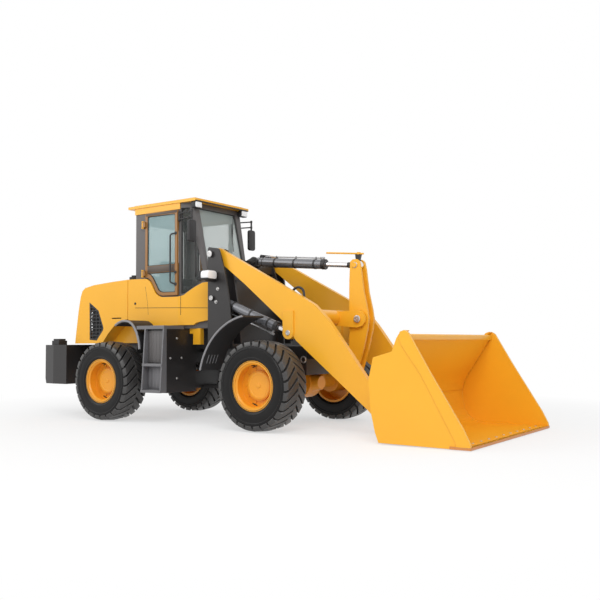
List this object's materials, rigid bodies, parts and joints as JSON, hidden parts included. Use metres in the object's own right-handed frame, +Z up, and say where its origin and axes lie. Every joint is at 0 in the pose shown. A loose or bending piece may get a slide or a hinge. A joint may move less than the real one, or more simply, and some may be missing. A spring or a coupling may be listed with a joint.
{
  "type": "wheel loader",
  "caption": "Articulated wheel loader with an enclosed cab, Z-bar lift arms, hydraulic cylinders and a wide general purpose bucket resting flat on the ground.",
  "frame": {"origin": "on the ground under the middle of the whole machine with the bucket flat", "axes": "+X forward towards the bucket's lip, +Y to the operator's left, +Z up"},
  "size_m": [7.095, 2.37, 2.996],
  "materials": {
    "yellow_paint": "gloss paint",
    "rim_paint": "gloss paint",
    "black_paint": "satin paint",
    "black_plastic": "grained",
    "grey_paint": "satin paint",
    "step_paint": "satin paint",
    "door_paint": "satin paint",
    "lamp_lens": "clear lens over reflector",
    "cab_window": "clear, faintly green",
    "seat_cover": "woven",
    "engine_iron": "rough",
    "rod_chrome": "polished",
    "edge_steel": "ground, primed underneath",
    "tyre_rubber": "matt rubber"
  },
  "bodies": {
    "rear_chassis": {"rear_frame": "black_paint", "rear_axle": "rim_paint", "counterweight": "black_paint", "engine": "engine_iron", "air_cleaner": "black_plastic", "hood": "yellow_paint", "hood_grilles": "black_plastic", "side_panels": "yellow_paint", "cab_shell": "grey_paint", "cab_roof": "yellow_paint", "cab_glass": "cab_window", "seat": "seat_cover", "operator_console": "black_plastic", "rear_fenders": "black_plastic", "steps": "step_paint", "side_tanks": "black_paint", "mirrors": "black_plastic", "work_lamps": "lamp_lens", "tail_lamps": "black_plastic"},
    "door_right_body": {"door_right": "door_paint", "door_right_glass": "cab_window"},
    "door_left_body": {"door_left": "door_paint", "door_left_glass": "cab_window"},
    "front_chassis": {"front_frame": "black_paint", "tower_web": "black_paint", "front_axle": "rim_paint", "front_fenders": "black_plastic", "headlamps": "lamp_lens"},
    "boom_body": {"boom": "yellow_paint"},
    "lift_barrel_body": {"lift_barrels": "black_paint"},
    "lift_rod_body": {"lift_rods": "rod_chrome"},
    "bellcrank_body": {"bellcrank": "yellow_paint"},
    "tilt_barrel_body": {"tilt_barrel": "black_paint"},
    "tilt_rod_body": {"tilt_rod": "rod_chrome", "bucket_gauge": "yellow_paint"},
    "link_body": {"bucket_link": "yellow_paint"},
    "bucket_body": {"bucket": "yellow_paint", "cutting_edge": "edge_steel"},
    "steer_barrel_right_body": {"steer_barrel_right": "black_paint"},
    "steer_barrel_left_body": {"steer_barrel_left": "black_paint"},
    "steer_rod_right_body": {"steer_rod_right": "rod_chrome"},
    "steer_rod_left_body": {"steer_rod_left": "rod_chrome"},
    "wheel_front_right": {"tyre_front_right": "tyre_rubber", "rim_front_right": "rim_paint"},
    "wheel_front_left": {"tyre_front_left": "tyre_rubber", "rim_front_left": "rim_paint"},
    "wheel_rear_right": {"tyre_rear_right": "tyre_rubber", "rim_rear_right": "rim_paint"},
    "wheel_rear_left": {"tyre_rear_left": "tyre_rubber", "rim_rear_left": "rim_paint"}
  },
  "joints": [
    {"name": "articulation", "type": "hinge", "parent": "rear_chassis", "child": "front_chassis", "pos_m": [-0.4975, 0, 0.69], "axis": [0, 0, 1], "range_deg": [-30, 30]},
    {"name": "wheel_front_right_spin", "type": "hinge", "parent": "front_chassis", "child": "wheel_front_right", "pos_m": [0.8025, -0.868, 0.5375], "axis": [0, 1, 0], "continuous": true},
    {"name": "wheel_front_left_spin", "type": "hinge", "parent": "front_chassis", "child": "wheel_front_left", "pos_m": [0.8025, 0.868, 0.5375], "axis": [0, 1, 0], "continuous": true},
    {"name": "wheel_rear_right_spin", "type": "hinge", "parent": "rear_chassis", "child": "wheel_rear_right", "pos_m": [-1.8225, -0.868, 0.5375], "axis": [0, 1, 0], "continuous": true},
    {"name": "wheel_rear_left_spin", "type": "hinge", "parent": "rear_chassis", "child": "wheel_rear_left", "pos_m": [-1.8225, 0.868, 0.5375], "axis": [0, 1, 0], "continuous": true},
    {"name": "boom_lift", "type": "hinge", "parent": "front_chassis", "child": "boom_body", "pos_m": [-0.1975, 0, 2.19], "axis": [0, -1, 0], "range_deg": [0, 75]},
    {"name": "bucket_tilt", "type": "hinge", "parent": "boom_body", "child": "bucket_body", "pos_m": [2.2925, 0, 0.21], "axis": [0, 1, 0], "range_deg": [-42, 120]},
    {"name": "bellcrank_turn", "type": "hinge", "parent": "boom_body", "child": "bellcrank_body", "pos_m": [1.6825, 0, 1.32078], "axis": [0, -1, 0], "range_deg": [-9.9, 27.35]},
    {"name": "link_turn", "type": "hinge", "parent": "bucket_body", "child": "link_body", "pos_m": [2.3475, 0, 0.455], "axis": [0, -1, 0], "range_deg": [-34.03, 96.31]},
    {"name": "lift_barrel_swing", "type": "hinge", "parent": "front_chassis", "child": "lift_barrel_body", "pos_m": [-0.1725, 0, 1.62], "axis": [0, -1, 0], "range_deg": [-0.5, 73.29]},
    {"name": "lift_rod_slide", "type": "slide", "parent": "lift_barrel_body", "child": "lift_rod_body", "axis": [0.9302, 0, -0.367], "range_m": [-0.002, 0.7044]},
    {"name": "tilt_barrel_swing", "type": "hinge", "parent": "front_chassis", "child": "tilt_barrel_body", "pos_m": [0.0425, 0, 2.12], "axis": [0, -1, 0], "range_deg": [-0.5, 80.47]},
    {"name": "tilt_rod_slide", "type": "slide", "parent": "tilt_barrel_body", "child": "tilt_rod_body", "axis": [0.9961, 0, -0.0878], "range_m": [-0.1508, 0.0541]},
    {"name": "door_right_swing", "type": "hinge", "parent": "rear_chassis", "child": "door_right_body", "pos_m": [-1.4975, -0.592, 2.35], "axis": [0, 0, -1], "range_deg": [0, 90]},
    {"name": "door_left_swing", "type": "hinge", "parent": "rear_chassis", "child": "door_left_body", "pos_m": [-1.4975, 0.592, 2.35], "axis": [0, 0, 1], "range_deg": [0, 90]},
    {"name": "steer_barrel_right_swing", "type": "hinge", "parent": "rear_chassis", "child": "steer_barrel_right_body", "pos_m": [-0.9575, -0.185, 0.72], "axis": [0, 0, 1], "range_deg": [-13.23, 13.23]},
    {"name": "steer_rod_right_slide", "type": "slide", "parent": "steer_barrel_right_body", "child": "steer_rod_right_body", "axis": [0.9738, -0.2275, 0], "range_m": [-0.1498, 0.1498]},
    {"name": "steer_barrel_left_swing", "type": "hinge", "parent": "rear_chassis", "child": "steer_barrel_left_body", "pos_m": [-0.9575, 0.185, 0.72], "axis": [0, 0, 1], "range_deg": [-13.23, 13.23]},
    {"name": "steer_rod_left_slide", "type": "slide", "parent": "steer_barrel_left_body", "child": "steer_rod_left_body", "axis": [0.9738, 0.2275, 0], "range_m": [-0.1498, 0.1498]}
  ],
  "couplings": [
    {"joint": "bellcrank_turn", "follows": "bucket_tilt", "ratio": 0.22378},
    {"joint": "link_turn", "follows": "bucket_tilt", "ratio": 0.79843},
    {"joint": "lift_barrel_swing", "follows": "boom_lift", "ratio": 0.9705},
    {"joint": "lift_rod_slide", "follows": "boom_lift", "m_per_rad": 0.53656},
    {"joint": "tilt_barrel_swing", "follows": "boom_lift", "ratio": 1.0663},
    {"joint": "tilt_rod_slide", "follows": "bucket_tilt", "m_per_rad": -0.071067},
    {"joint": "steer_barrel_left_swing", "follows": "articulation", "ratio": 0.42433},
    {"joint": "steer_rod_left_slide", "follows": "articulation", "m_per_rad": -0.28226},
    {"joint": "steer_barrel_right_swing", "follows": "articulation", "ratio": 0.42433},
    {"joint": "steer_rod_right_slide", "follows": "articulation", "m_per_rad": 0.28226}
  ]
}
